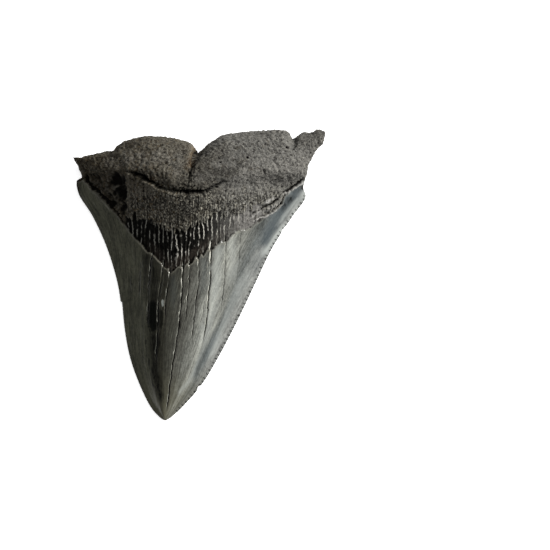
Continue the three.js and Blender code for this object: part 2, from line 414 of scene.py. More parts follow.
LONELY = 6.0  # a slat with no crack on one side counts as this wide there

crack_side = np.full(X.shape, 9.0)
crack_strength = np.zeros(X.shape)
crack_top = np.zeros(X.shape)
to_left, to_right = np.full(X.shape, LONELY), np.full(X.shape, LONELY)
wander = 0.22 * noise(X, Y, 0, (6, 3.2, 9), 21) + 0.16 * noise(X, Y, 0, (6, 1.1, 9), 22)
for strength, points in CRACKS:
    side = MAP_X - read_table(points, MAP_Y) + wander
    low, high = points[0][0], points[-1][0]
    there = strength * smoothstep(MAP_Y, low, low + 7) * (1 - smoothstep(MAP_Y, high, high + 3.0))
    there = there * (1 - smoothstep(np.abs(side), 0.65, CRACK_REACH)) * UPPER
    closer = np.abs(side) < np.abs(crack_side)
    crack_side = np.where(closer, side, crack_side)
    crack_strength = np.where(closer, there, crack_strength)
    crack_top = np.where(closer, bell(high - MAP_Y, 6.0), crack_top)
    to_left = np.where(side > 0, np.minimum(to_left, side), to_left)
    to_right = np.where(side < 0, np.minimum(to_right, -side), to_right)
across_slat = to_left / (to_left + to_right)  # 0 just right of a crack, 1 just left of the next
broken = 0.8 + 0.6 * noise(X, Y, 0, (4, 2.4, 9), 23)
crack_strength = (crack_strength * broken).clip(0, 1)
print(f"{len(CRACKS)} cracks")

# %% [markdown]
# ## Where the enamel ends
#
# On the inner face the enamel ends in a wide V, and each slat of it has its own rounded top. Between it
# and the root lies the dark band that collectors call the bourlette, where the enamel was thin and showed
# the fibres under it. Both borders are curves across the tooth, and each point gets its distance from
# them. A distance is more useful than a yes or no: it can be made ragged, softened or turned into a lip.

# %% Distances from the two borders
ENAMEL_EDGE = [
    [-50.8, 39.1], [-48.8, 39.0], [-44.9, 35.0], [-32.3, 21.5], [-24.1, 11.7], [-18.1, 6.8], [-12.2, 1.0],
    [-8.5, 2.4], [-4.5, 3.6], [3.9, 9.6], [10.6, 13.4], [15.8, 17.3], [21.8, 19.6], [27.2, 23.6],
    [31.2, 25.5], [34.2, 28.2], [36.6, 32.6], [40.4, 36.2], [44.8, 39.4],
]
BAND_TOP = [
    [-41.0, 31.0], [-29.6, 24.5], [-25.8, 24.0], [-16.4, 20.1], [-11.5, 18.0], [-4.5, 19.0], [-1.0, 21.3],
    [5.0, 23.2], [17.9, 25.7], [24.0, 29.0], [34.0, 34.0],
]
SLANT = 0.75  # turns a height above a slanting border into a distance from it
OUTER_BORDER = 37.0  # on the flat outer face the enamel reaches this far up

slatted = smoothstep(MAP_X, -17, -11) * (1 - smoothstep(MAP_X, 10, 18))
slat_top = slatted * (1.5 * np.sin(np.pi * across_slat**1.7) - 0.7)
ragged = 0.4 * noise(X, Y, Z, 2.6, 1) + 0.3 * noise(X, Y, Z, 0.9, 2)
above_enamel = (MAP_Y - read_table(ENAMEL_EDGE, MAP_X) - slat_top) * SLANT + ragged
root_side = np.where(UPPER, above_enamel, Y - OUTER_BORDER - 2.5 * np.cos(X / 16) + ragged)
fringe = 1.4 * noise(MAP_X, 0.12 * MAP_Y, 0, 0.75, 3) + 0.7 * noise(MAP_X, 0.2 * MAP_Y, 0, 2.2, 4)
below_band_top = (read_table(BAND_TOP, MAP_X) - MAP_Y) * SLANT + fringe + ragged

on_root = smoothstep(root_side, -0.15, 0.3)
in_band = on_root * UPPER * smoothstep(below_band_top, -0.4, 0.8) * smoothstep(MAP_X, -33, -29)
in_band = in_band * (1 - smoothstep(MAP_X, 24, 28))
grey_end = smoothstep(MAP_X, 1, 17)  # towards the right the band fades into grey fibres
print(f"root {on_root.mean():.0%} of the points, dark band {in_band.mean():.0%}")

# %% [markdown]
# ## Folds of the root
#
# A deep natural fold crosses the root, curved like a smile. Above its middle a crease runs up to the
# notch between the two lobes. Cutting them with booleans would leave hard rims. Pressing them into the
# surface with a rounded profile keeps the worn, bony look, and the same numbers say where shade is painted.

# %% Press the folds in
CROSS_FOLD = [(-31, 42.2), (-28.3, 41.5), (-24.8, 40.2), (-22.0, 39.2), (-17.4, 35.9), (-13.6, 34.4),
              (-9.4, 33.6), (-3.1, 33.2), (0.4, 33.6), (3.9, 34.7), (7.4, 36.5), (11.5, 38.2)]
FOLD_OPENNESS = [  # share of the way along the fold, how far it gapes there
    [0.0, 0.1], [0.06, 0.7], [0.16, 1.1], [0.28, 0.85], [0.4, 0.4], [0.5, 0.55], [0.58, 0.9], [0.66, 1.0],
    [0.76, 0.85], [0.84, 0.6], [0.92, 0.5], [1.0, 0.1],
]
CREASE = [(-5.0, 36.2), (-4.2, 41.0), (-3.2, 45.2), (-1.8, 49.1), (-0.3, 52.5), (0.6, 57.0)]

beside, x, y = near(CROSS_FOLD, 9.0)
fold, way = along_line(CROSS_FOLD, x, y)
fold = fold + 0.4 * noise(x, y, 0, 2.2, 5) + 0.3 * noise(x, y, 0, 0.8, 6)
taper = tapering(way, 0.6)
middle = bell(way - 0.64, 0.17)
upper_left = bell(way - 0.22, 0.1)
openness = read_table(FOLD_OPENNESS, way) * (1 + 0.35 * noise(x, y, 0, 1.7, 11))
half_gap = 0.15 + 0.6 * openness
inside_fold = np.exp(-((np.abs(fold - 0.2) / half_gap) ** 3)) * openness.clip(0, 1)
above = smoothstep(fold, -0.1, 0.5) * taper
rim_below = bell(fold + half_gap + 0.1, 0.35) * taper * (0.7 + noise(x, y, 0, 1.1, 10))

pressed, painted_shade, above_fold = np.zeros(X.shape), np.zeros(X.shape), np.zeros(X.shape)
pressed[beside] = -3.8 * inside_fold - 1.7 * above * np.exp(-fold.clip(0) / 3.2) + 0.5 * rim_below
# painted shade: the fold's gap, and a dark stripe above its upper left part where the root slopes down into
# it
painted_shade[beside] = inside_fold + 0.9 * above * upper_left * bell(fold - 0.9, 1.0)
# fold_shade: painted shade on the slope above the fold, which falls away under the lobes, widest in the
# middle
fold_shade = np.zeros(X.shape)
fold_shade[beside] = above * np.exp(-((fold.clip(0) / mix(3.6, 6.0, middle)) ** 2.5)) * mix(0.75, 1.0, middle)
above_fold[beside] = above * np.exp(-fold.clip(0) / 3.0)

beside, x, y = near(CREASE, 8.0)
crease, way = along_line(CREASE, x, y)
crease = crease + 0.3 * noise(x, y, 0, 1.6, 8)
width = mix(0.6, 1.8, smoothstep(way, 0.5, 1.0))
deep = smoothstep(way, -0.15, 0.4)
pressed[beside] -= 2.4 * deep**1.5 * np.exp(-np.abs(crease) / width)
patchy = (0.7 + 0.9 * noise(x, y, 0, 1.3, 19)).clip(0, 1)
# painted shade: a thin dark line along the crease, broken here and there
painted_shade[beside] += 0.75 * deep * bell(crease, 0.45) * patchy
# painted shade on the wall beside the crease
crease_shade = bell(crease + 0.9 * way, mix(2.4, 1.4, way)) * (1.0 - 0.3 * way)
fold_shade[beside] = np.maximum(fold_shade[beside], crease_shade)
stain = np.zeros(X.shape)
rusty = smoothstep(way, 0.2, 0.5) * (1 - smoothstep(way, 0.85, 0.95))
stain[beside] = bell(crease - 0.9, 1.5) * rusty
brown_lip, x, y = near([(-23, 40), (-17.5, 38)], 3)
stain[brown_lip] = 0.8 * bell(x + 20.2, 2.2) * bell(y - 40.0, 1.3)
print(f"the folds are up to {-pressed.min():.1f} mm deep")

# %% [markdown]
# ## Hollows, the ledge and the dark band
#
# Between the fold and the enamel the root swells into a ledge. It breaks off raggedly above the band, its
# left end drops to a lower arm with a few dark hollows, and its fibres run towards the tip. They stand up
# as thin pale ridges in the band. A cosine gives ridges side by side, and noise makes them wander, differ
# in height, and end.

# %% The ledge and the hollows
FIBRE_SPACING = 1.9
FINER = 2.2  # how many fine fibres lie in the space of one thick one
ACROSS = (SHARE - crest) * 78.0  # follows the taper of the blade, so lines drawn with it meet at the tip

HOLLOWS = [  # x, y, half-width, half-length, depth
    (-35.2, 37.9, 2.8, 2.1, 2.2), (-33.8, 33.2, 2.7, 3.0, 2.4), (-38.5, 32.0, 1.4, 1.2, 0.5),
    (-37.2, 28.6, 2.4, 1.2, 1.2), (-32.0, 27.0, 1.8, 2.0, 1.4), (-44.5, 39.6, 2.0, 0.8, 0.6),
    (20.4, 48.9, 0.5, 0.45, 1.6), (37.0, 52.8, 0.5, 0.45, 1.4), (27.7, 42.8, 0.6, 1.3, 0.6),
]
bowls = np.zeros(X.shape)
for hx, hy, half_width, half_length, depth in HOLLOWS:
    reach = np.hypot((MAP_X - hx) / half_width, (MAP_Y - hy) / half_length) + 0.3 * noise(X, Y, 0, 1.6, 9)
    bowls = np.minimum(bowls, -depth * np.exp(-(reach.clip(0) ** 3)))
lower_arm = -1.5 * smoothstep(-MAP_X, 29.5, 32.5) * smoothstep(Y, 24, 30) * (1 - smoothstep(Y, 41, 50))
lower_edge = bell(root_side - 0.6, 0.6) * smoothstep(-MAP_X, 20, 30) * on_root


def ridges(lane, length, sharpness, seed):
    """Thin ridges, one on every whole number of lane. Each has its own height and fades in and out."""
    own = 0.5 + 1.1 * noise(np.round(lane), 0.3 * np.round(lane) + MAP_Y / length, 0, (0.61, 1, 1), seed)
    return (0.5 + 0.5 * np.cos(2 * np.pi * lane)) ** sharpness * own.clip(0, 1)


lane = MAP_X / FIBRE_SPACING + 0.35 * noise(MAP_X, MAP_Y, 0, (2.4, 7.0, 60), 12)
fibres = ridges(lane, 3.2, 5.0, 13)
fine_fibres = ridges(FINER * lane, 2.4, 2.5, 15)
ledge = on_root * UPPER * (1 - in_band) * (1 - smoothstep(MAP_Y, 30, 38)) * smoothstep(MAP_X, -33, -28)
enamel_lip = 0.12 * bell(root_side, 0.45) - 0.3 * on_root
gap_above_enamel = bell(root_side - 0.7, 0.5) * (1 - in_band) * UPPER
undercut = -0.5 * gap_above_enamel

relief = pressed + (bowls + lower_arm) * on_root * UPPER + enamel_lip + undercut
relief += in_band * (0.35 * fibres + 0.12 * fine_fibres - 0.7 * (1 - 0.5 * grey_end))
relief += ledge * (0.2 * fibres + 0.3 * fine_fibres) + 0.5 * above_fold * fine_fibres
# painted shade in the hollows of the root and along the root's edge where it overhangs the enamel
painted_shade = painted_shade + (-bowls / 1.3).clip(0, 1) * on_root + 0.35 * lower_edge

# %% [markdown]
# ## Splinters on the right shoulder
#
# Along the right shoulder the enamel has split into thin pale splinters that stand beside each other with
# gaps between them. Each is a short line drawn on the map: raised along the line, sunk just above it.

# %% Raise the splinters
SPLINTERS = [  # brightness, half-width, how open the gap above it, points
    (1.0, 0.3, 1.0, [(35.7, 33.0), (40.2, 35.9), (44.9, 38.7)]),
    (0.45, 1.0, 1.0, [(25.4, 24.6), (30.0, 27.2), (35.2, 30.8)]),
    (0.9, 0.24, 0.0, [(22.2, 21.4), (26.9, 23.7), (31.5, 26.0), (35.3, 29.2)]),
    (0.9, 0.5, 0.0, [(27.4, 29.2), (29.2, 30.4), (31.6, 31.6)]),
    (0.7, 0.28, 0.5, [(21.4, 22.8), (23.8, 24.6), (26.8, 26.2)]),
]
splinters = np.zeros(X.shape)
gaps = np.zeros(X.shape)
for brightness, half_width, open_above, points in SPLINTERS:
    beside, x, y = near(points, 2.5)
    side, way = along_line(points, x, y, 24)
    side = side + 0.25 * noise(x, y, 0, 1.1, 16)
    there = tapering(way, 0.4)
    raised = brightness * there * bell(side, half_width)
    splinters[beside] = np.maximum(splinters[beside], raised)
    open_here = open_above * there * (0.8 + 0.9 * noise(x, y, 0, 1.9, 17)).clip(0, 1)
    gaps[beside] = np.maximum(gaps[beside], open_here * bell(side - half_width - 0.5, 0.4))
relief += 0.5 * splinters - 0.9 * gaps * (1 - splinters)
# painted shade in the gaps above the splinters
painted_shade = painted_shade + 0.8 * gaps * (1 - splinters)

# %% Open the cracks, and let the enamel undulate
gap = bell(crack_side - 0.26, 0.24)
rim = bell(crack_side + 0.14, 0.18)
# rim_highlight: how strongly each crack's pale rim is painted as a highlight, unevenly along it
rim_highlight = (0.85 + 1.4 * noise(X, Y, 0, (3, 1.5, 9), 25)).clip(0, 1.3) * crack_strength
rim_highlight = rim_highlight * mix(0.6, 1.0, smoothstep(MAP_X, -18, -6)) * (1 - 0.6 * smoothstep(MAP_X, 6, 9))
crack_rim = rim_highlight * (1 + 0.9 * crack_top * slatted)
relief += crack_strength * (0.1 * rim - 0.5 * gap)

undulation = 0.16 * noise(ACROSS, Y, 0, (10, 40, 60), 31) + 0.05 * noise(ACROSS, Y, 0, (2.4, 26, 60), 32)
undulation += 0.02 * noise(ACROSS, Y, 0, (0.8, 12, 60), 33)
relief += undulation * (1 - on_root)

# %% [markdown]
# ## Washes of tone
#
# The enamel took up minerals unevenly: dark blotches lie along the cracks, pale streaks run along the
# right flank, and the right shoulder is slate blue. The pale streaks are partly the enamel's own tone and
# partly a painted reflection of the lamp. On the root, some dark strokes are painted shade and one pale
# stroke is painted light. They are washes, laid with soft strokes as a painter would. Each stroke is a
# line on the map with a half-width, and its edge is broken by stretched noise.

# %% Lay the strokes
STROKES = {
    "dark": [  # strength, half-width, points
        (0.6, 2.4, [(-22.0, 7.0), (-20.0, -3.0), (-19.6, -10.0)]),
        (0.8, 2.0, [(-18.8, -24.0), (-18.6, -33.0), (-18.8, -40.0), (-17.2, -47.0), (-16.0, -51.0)]),
        (0.6, 2.2, [(-19.6, -12.0), (-19.0, -17.0), (-18.8, -22.0)]),
        (1.0, 0.9, [(-17.4, -25.5), (-17.1, -30.0), (-18.0, -33.5)]),
        (0.8, 0.5, [(-19.4, -36.0), (-19.7, -42.0), (-19.3, -47.0)]),
        (0.9, 0.6, [(-7.9, -18.6), (-8.1, -20.6), (-8.5, -22.4)]),
        (0.5, 2.0, [(26.8, 23.0), (25.2, 19.0)]),
        (0.26, 2.2, [(2.4, 8.0), (7.0, 11.6), (12.4, 14.6)]),
        (0.35, 1.3, [(43.4, 36.8), (40.2, 34.2)]),
        (0.6, 1.4, [(38.4, 31.8), (36.8, 30.0), (35.6, 28.0)]),
        (0.3, 1.0, [(-1.5, -41.0), (0.4, -36.0), (2.2, -32.0)]),
        (0.16, 1.3, [(19.6, -2.0), (15.0, -12.0), (10.4, -21.0)]),
        (0.8, 3.4, [(-0.4, 47.0), (3.0, 43.4), (9.0, 42.0), (15.0, 42.6)]),
        (0.4, 3.0, [(43.6, 55.6), (50.6, 58.4)]),
        (0.35, 4.0, [(8.0, 50.0), (17.0, 46.4)]),
        (0.7, 2.6, [(-27.0, 43.4), (-21.0, 42.2), (-15.0, 39.4)]),
        # painted shade: the left of the ledge lies in shade
        (0.9, 3.6, [(-27.5, 31.0), (-22.0, 29.4), (-18.0, 29.4)]),
        (0.35, 2.6, [(-3.2, 31.0), (-3.2, 26.0), (-3.4, 21.0)]),
        (0.5, 1.4, [(6.4, 34.4), (9.4, 35.4), (12.6, 36.4)]),
        (0.4, 2.2, [(-31.0, 53.0), (-22.0, 56.4), (-12.6, 56.0), (-6.0, 53.0)]),
        (0.9, 3.2, [(-40.0, 36.0), (-36.0, 35.4), (-33.0, 30.0)]),
    ],
    # pale: on the right flank partly the enamel's own paler streaks and partly a painted reflection of the
    # lamp; on the root a paler tone
    "pale": [
        (0.6, 1.5, [(44.8, 34.0), (42.8, 31.4)]),
        (0.7, 0.8, [(41.4, 31.4), (39.4, 29.0), (36.6, 25.2), (34.4, 21.8)]),
        (0.7, 0.7, [(41.2, 28.6), (39.0, 24.6), (36.8, 20.4)]),
        (1.0, 1.2, [(35.8, 19.8), (32.2, 15.8), (30.0, 12.4), (27.6, 9.0)]),
        (0.35, 1.9, [(13.4, 14.0), (14.6, 6.0), (13.6, -2.0)]),
        (0.45, 2.4, [(8.0, 13.0), (7.4, 2.0), (6.4, -8.0), (4.6, -18.0), (2.2, -27.0)]),
        (0.5, 1.5, [(20.5, -1.0), (16.0, -9.0), (12.0, -17.0), (9.0, -25.0), (5.4, -34.0)]),
        (0.45, 0.8, [(4.2, -25.5), (-0.8, -37.6), (-3.9, -44.0), (-8.3, -49.6)]),
        (0.45, 3.0, [(-36.0, 46.4), (-30.0, 48.4), (-22.0, 49.0), (-13.0, 48.0), (-9.6, 44.0)]),
        # painted light: this slope right of the boss faces away from the lamp
        (1.0, 3.6, [(19.0, 42.4), (26.0, 40.4), (33.0, 39.6)]),
        (0.9, 2.6, [(14.4, 33.0), (16.0, 30.4), (18.6, 28.2)]),
        (0.5, 3.0, [(31.0, 44.0), (36.6, 43.6), (43.0, 44.6)]),
    ],
    "slate": [
        (1.0, 3.5, [(41.0, 35.0), (35.4, 28.0), (30.8, 20.6), (28.0, 14.0)]),
        (0.4, 3.0, [(29.0, 17.0), (26.6, 11.0), (23.0, 3.0)]),
        (0.3, 1.4, [(20.0, -2.0), (15.0, -12.0), (9.6, -22.0)]),
        (0.6, 1.7, [(6.5, -27.0), (3.0, -32.5), (0.0, -38.0), (-1.6, -42.0)]),
        (0.2, 1.5, [(-10.6, -2.0), (-10.8, -12.0)]),
        (0.25, 1.4, [(2.2, 6.0), (1.6, -6.0)]),
    ],
}
EDGE_BREAK = 0.4  # how far the noise moves a stroke's edge, in half-widths


def washed(strokes, seed):
    """How strongly a set of strokes covers each point, from 0 to 1."""
    total = np.zeros(X.shape)
    for strength, half_width, points in strokes:
        beside, x, y = near(points, 2.5 * half_width)
        side, way = along_line(points, x, y, 48)
        uneven = 1 + EDGE_BREAK * noise(ACROSS[beside], y, 0, (0.9, 6.0, 9), seed)
        uneven += EDGE_BREAK * noise(ACROSS[beside], y, 0, (2.6, 3.0, 9), seed + 1)
        cover = strength * np.exp(-((np.abs(side) / (half_width * uneven.clip(0.3, 2))) ** 2.5))
        total[beside] = np.maximum(total[beside], cover)
    return total


dark, pale, slate = (washed(STROKES[kind], 24 + 2 * k) for k, kind in enumerate(STROKES))
print(f"{sum(len(strokes) for strokes in STROKES.values())} strokes")

# %% [markdown]
# ## Saw teeth
#
# The right edge has kept its saw teeth. The left edge is worn nearly smooth. They are too small for rings
# to be lofted one by one, so the finished rings are pushed in a little between the teeth. Each point also
# keeps its distance from the right edge and its way along it, for the material to draw the gaps with.

# %% Notch the cutting edges
SAW_PITCH = 1.85


def edge_fields(edge, sign):
    """Distance of every point from an edge, arc length along the edge, and the way in from it."""
    line = edge[:, 0, :]
    along = lengths_along(line)[:, None]
    tangent = np.gradient(line, axis=0)
    tangent = tangent / np.maximum(np.linalg.norm(tangent, axis=1, keepdims=True), 1e-9)
    inward = np.stack([-tangent[:, 1], tangent[:, 0]], -1)[:, None, :] * sign
    offset = plan - edge
    return np.abs((offset * inward).sum(-1)), along + (offset * tangent[:, None, :]).sum(-1), inward


def saw_notches(along, seed):
    phase = along / SAW_PITCH + 0.3 * noise(along, 0, 0, 2.6, seed)
    worn = 0.85 + 0.6 * noise(along, 0, 0, 3.1, seed + 1)
    return (0.5 + 0.5 * np.cos(2 * np.pi * phase)) ** 2.5 * worn.clip(0.3, 1.1)


from_right, right_along, right_inward = edge_fields(right_edge, 1)
from_left, left_along, left_inward = edge_fields(left_edge, -1)
on_blade = smoothstep(middle_y, -59, -54) * (1 - smoothstep(middle_y, 32.5, 34.0))
right_saw = saw_notches(right_along, 41) * on_blade
left_saw = saw_notches(left_along, 43) * on_blade * 0.3

chips = 0.65 * bell(middle_y + 47.4, 0.7) + 0.4 * bell(middle_y - 18.2, 1.2)
push = (0.1 * right_saw + chips) * bell(from_right, 1.0)
left_push = 0.2 * left_saw * bell(from_left, 1.0)
left_step = 0.5 * smoothstep(-middle_y, 11.2, 12.0) * (1 - smoothstep(-middle_y, 12.0, 24))
left_push = left_push + left_step * bell(from_left, 2.5)
shift = push[..., None] * right_inward + left_push[..., None] * left_inward

print(f"{right_along.max() / SAW_PITCH:.0f} saw teeth fit on the right edge")

# %% [markdown]
# ## The grain of the root
#
# Root is porous, like bone: coarse lumps, finer grains on them, and scattered pores. All of it is pushed
# along the surface's own direction, so that it works on the steep end of the root as well as on top.

# %% Roughen the root and put it all together
X = X + shift[..., 0]
Y = Y + shift[..., 1]
lumps = 0.32 * rough_noise(X, Y, Z, 4.6, 2, 51)
grains = 0.24 * (0.55 - nearest_cell(X, Y, Z, 1.0, 3)) + 0.28 * rough_noise(X, Y, Z, 0.95, 2, 55)
pore = nearest_cell(X, Y, Z, 2.3, 6)
pores = -0.7 * bell(pore, 0.17) * smoothstep(noise(X, Y, Z, 5, 57), -0.2, 0.3)
roughness_there = on_root * (1 - 0.8 * in_band) * (1 - 0.25 * ledge)
grain_relief = roughness_there * (lumps + grains + pores) + 0.1 * in_band * rough_noise(X, Y, Z, 1.0, 2, 58)


def surface_directions(points):
    """The outward direction at each point of the rings."""
    along = np.gradient(points, axis=0)
    around = np.roll(points, -1, axis=1) - np.roll(points, 1, axis=1)
    out = np.cross(around, along)
    return out / np.maximum(np.linalg.norm(out, axis=-1, keepdims=True), 1e-9)


FAINTER_BELOW = 0.35  # the outer face's relief, as a share of the inner face's
ROOT_LIFT = 0.45  # how far the root's underside clears the table

plain = np.stack([X, Y, Z], -1)
facing = surface_directions(plain)
seam = smoothstep(np.minimum(SHARE, 1 - SHARE) * 100, 0.2, 1.6) * fullness  # 0 where the two faces meet
drawn = np.where(UPPER, relief, FAINTER_BELOW * relief) * seam
solid = plain + facing * (drawn + grain_relief)[..., None]
solid[..., 2] = np.where(UPPER, solid[..., 2], solid[..., 2] + ROOT_LIFT * on_root)
print(f"the relief runs from {(drawn + grain_relief).min():.1f} to {(drawn + grain_relief).max():.1f} mm")

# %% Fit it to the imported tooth, and keep it above the table
plain_low, plain_high = plain.min(axis=(0, 1)), plain.max(axis=(0, 1))
scale = (HIGH - LOW) / (plain_high - plain_low)
solid = LOW + (solid - plain_low) * scale
solid[..., 2] = np.maximum(solid[..., 2], LOW[2])
print("scaled by", np.round(scale, 4), "to fit")

# %% Find the hollows and what stands proud
SMOOTHING_ROUNDS = 14
FULL_HOLLOW = 0.35  # this far below its smoothed surroundings a point counts as a full hollow
FULLY_PROUD = 0.3

# The folds' painted shade is in already, so their depth is left out here.
depth = drawn + grain_relief - pressed * seam  # the dirt in the big folds is drawn already
smooth = depth
for _ in range(SMOOTHING_ROUNDS):
    smooth = (smooth + np.roll(smooth, 1, 1) + np.roll(smooth, -1, 1)
              + np.roll(smooth, 1, 0) + np.roll(smooth, -1, 0)) / 5
# hollow: painted shade, for points below their smoothed surroundings and for the painted shade drawn above
hollow = ((smooth - depth) / FULL_HOLLOW).clip(0, 1) + painted_shade
proud = ((depth - smooth) / FULLY_PROUD).clip(0, 1)
print(f"{(hollow > 0.5).mean():.1%} of the points lie in a hollow")

# %% [markdown]
# ## The mesh
#
# The rings become quads, and the two end rings are sewn shut. The full grid has far more faces than the
# smooth enamel needs, so a Decimate modifier thins it out: it keeps small faces where the root is rough
# and lets them grow where the blade is smooth. Values stored on the points come through with it.

# %% Weave the rings into one skin
MOST_FACES = 194000

index = np.arange(ROWS * 2 * COLUMNS).reshape(ROWS, 2 * COLUMNS)
for row in (0, ROWS - 1):
    index[row, COLUMNS + 1:] = index[row, 1:COLUMNS][::-1]
around = np.roll(index, -1, axis=1)
quads = np.stack([index[:-1], around[:-1], around[1:], index[1:]], -1).reshape(-1, 4)
used, quads = np.unique(quads, return_inverse=True)
quads = quads.reshape(-1, 4)

skin = bpy.data.meshes.new("tooth skin")
skin.vertices.add(len(used))
skin.vertices.foreach_set("co", (solid.reshape(-1, 3)[used] / MM).astype(np.float32).ravel())
skin.loops.add(quads.size)
skin.loops.foreach_set("vertex_index", quads.astype(np.int32).ravel())
skin.polygons.add(len(quads))
skin.polygons.foreach_set("loop_start", np.arange(0, quads.size, 4, dtype=np.int32))
skin.update(calc_edges=True)
print(f"{len(quads)} quads")

# %% Store what the material needs to know
up_the_crest = lengths_along(plain[:, COLUMNS // 2])[:, None]
slat_lip = mix(0.15, 1.3, across_slat**3) * (1 - 0.5 * smoothstep(MAP_X, 6, 12))
lip = smoothstep(MAP_X, -34, -22) * mix(0.45, slat_lip, smoothstep(MAP_X, -19, -17)) * UPPER
lip = lip * (0.7 + 0.6 * noise(X, Y, 0, 1.8, 18)).clip(0, 1)
NOT_AN_EDGE = 9  # counts as far from the cutting edge
STORED = {
    "across": SHARE, "along": middle_y, "sideways": MAP_X, "down": MAP_Y, "lane": lane,
    "back": np.where(UPPER, 0.0, 1.0), "streak": ACROSS + np.where(UPPER, 0, 300),
    "arc": up_the_crest / up_the_crest[-1], "root_side": root_side, "in_band": in_band,
    "grey_end": grey_end, "ledge": ledge, "lip": lip, "hollow": hollow, "proud": proud, "stain": stain,
    "fold_shade": fold_shade, "dark": dark, "pale": pale, "slate": slate, "splinter": splinters,
    "from_edge": np.where(on_blade > 0, from_right, NOT_AN_EDGE), "along_edge": right_along,
    "crack_side": crack_side, "crack_strength": crack_strength, "crack_rim": crack_rim,
}
for name, values in STORED.items():
    values = np.broadcast_to(values, X.shape).reshape(-1)[used]
    attribute = skin.attributes.new(name, "FLOAT", "POINT")
    attribute.data.foreach_set("value", values.astype(np.float32))
print(f"{len(STORED)} numbers are kept on every point")

# %% Thin it out
tooth = bpy.data.objects.new("megalodon_tooth", skin)
bpy.context.scene.collection.objects.link(tooth)
thin = tooth.modifiers.new("thin out", "DECIMATE")
thin.ratio = MOST_FACES / (2 * len(quads))
bpy.context.view_layer.update()
shaped = tooth.evaluated_get(bpy.context.evaluated_depsgraph_get())
tooth.data = bpy.data.meshes.new_from_object(shaped)
tooth.modifiers.clear()
tooth.data.shade_smooth()
print(f"{len(tooth.data.polygons)} faces and {len(tooth.data.vertices)} points are left")

# %% Lay the skin out flat
def read(name):
    values = np.empty(len(tooth.data.vertices), np.float32)
    tooth.data.attributes[name].data.foreach_get("value", values)
    return values


corners = np.empty(len(tooth.data.loops), np.int32)
tooth.data.loops.foreach_get("vertex_index", corners)
first = np.empty(len(tooth.data.polygons), np.int32)
tooth.data.polygons.foreach_get("loop_start", first)
sides = np.diff(np.append(first, len(corners)))
on_back = np.repeat(np.add.reduceat(read("back")[corners], first) / sides > 0.45, sides)
MARGIN = 0.02
STRIP = 0.5 - 2 * MARGIN  # the inner face takes the left half of the square, the outer face the right
flat_x = MARGIN + STRIP * read("across")[corners] + 0.5 * on_back
flat_y = MARGIN + (1 - 2 * MARGIN) * read("arc")[corners]
flat = np.stack([flat_x, flat_y], -1)
tooth.data.uv_layers.new(name="OFBake").data.foreach_set("uv", flat.astype(np.float32).ravel())

# %% [markdown]
# ## Small tools for materials
#
# A material is a tree of nodes. Written out, every sum in it would take a node and two links. So whatever
# comes out of a node is wrapped in a Value, and Values can be added, multiplied and so on like numbers:
# each such step adds its own node. The tools always work in the tree that was opened last.

# %% Values that can be reckoned with
class Value:
    """A number or a colour that comes out of a node."""

    def __init__(self, socket):
        self.socket = socket

    def __add__(self, other):
        return maths("ADD", self, other)

    def __sub__(self, other):
        return maths("SUBTRACT", self, other)

    def __rsub__(self, other):
        return maths("SUBTRACT", other, self)

    def __mul__(self, other):
        return maths("MULTIPLY", self, other)

    def __truediv__(self, other):
        return maths("DIVIDE", self, other)

    def __rtruediv__(self, other):
        return maths("DIVIDE", other, self)

    def __pow__(self, other):
        return maths("POWER", self, other)

    __radd__, __rmul__ = __add__, __mul__


# %% Add nodes
def feed(socket, value):
    """Link an input to a Value, or set it to a plain number or colour."""
    if isinstance(value, Value):
        wired.links.new(value.socket, socket)
    else:
        socket.default_value = value


def place(kind, inputs=None, output=0, **settings):
    """Add a node to the open tree, set it up, feed its inputs and give one of its outputs."""
    node = wired.nodes.new("ShaderNode" + kind)
    for name, value in settings.items():
        setattr(node, name, value)
    for key, value in (inputs or {}).items():
        feed(node.inputs[key], value)
    return Value(node.outputs[output])


def maths(operation, a, b=0.5):
    return place("Math", {0: a, 1: b}, operation=operation)


def between(value, low, high, to_low=0.0, to_high=1.0):
    """A smooth step: to_low where value is under low, and to_high where it is over high."""
    return place("MapRange", {"Value": value, "From Min": low, "From Max": high, "To Min": to_low,
                              "To Max": to_high}, interpolation_type="SMOOTHSTEP")


def kept(name):
    """A number that was stored on the skin."""
    return place("Attribute", output="Fac", attribute_name=name)


def clouds(scale, detail, roughness=0.5):
    """Noise with so many lumps to the metre."""
    return place("TexNoise", {"Vector": place("TexCoord", output="Object"), "Scale": scale,
                              "Detail": detail, "Roughness": roughness})


# %% Lay colours over each other
def colour(red, green, blue):
    """A colour given as it looks on a screen, from 0 to 255, as the light that a shader works with."""
    screen = np.array([red, green, blue]) / 255
    light = np.where(screen <= 0.04045, screen / 12.92, ((screen + 0.055) / 1.055) ** 2.4)
    return (*light.tolist(), 1.0)


def over(mask, base, top, way="MIX"):
    """Lay one colour over another where the mask is 1."""
    return place("Mix", {0: mask, 6: base, 7: top}, 2, data_type="RGBA", blend_type=way)


def over_number(mask, base, top):
    return place("Mix", {0: mask, 2: base, 3: top}, data_type="FLOAT")


def glazed(base, *glazes):
    """Lay plain colours over a base, one after another: a mask and a screen colour for each."""
    for mask, shade in glazes:
        base = over(mask, base, colour(*shade))
    return base


def shaded(base, lightness):
    """A colour made lighter or darker. A lightness of 1 leaves it as it is."""
    grey = place("CombineColor", {"Red": lightness, "Green": lightness, "Blue": lightness})
    return over(1.0, base, grey, "MULTIPLY")


# %% Open, close and use a group
def open_group(name, **inputs):
    """Start a group with named numbers as inputs, and give these. Underscores stand for spaces."""
    global wired  # the open tree
    wired = bpy.data.node_groups.new(name, "ShaderNodeTree")
    for label, value in inputs.items():
        socket = wired.interface.new_socket(
            label.replace("_", " "), in_out="INPUT", socket_type="NodeSocketFloat")
        socket.default_value = value
    came_in = wired.nodes.new("NodeGroupInput").outputs
    return [Value(came_in[label.replace("_", " ")]) for label in inputs]


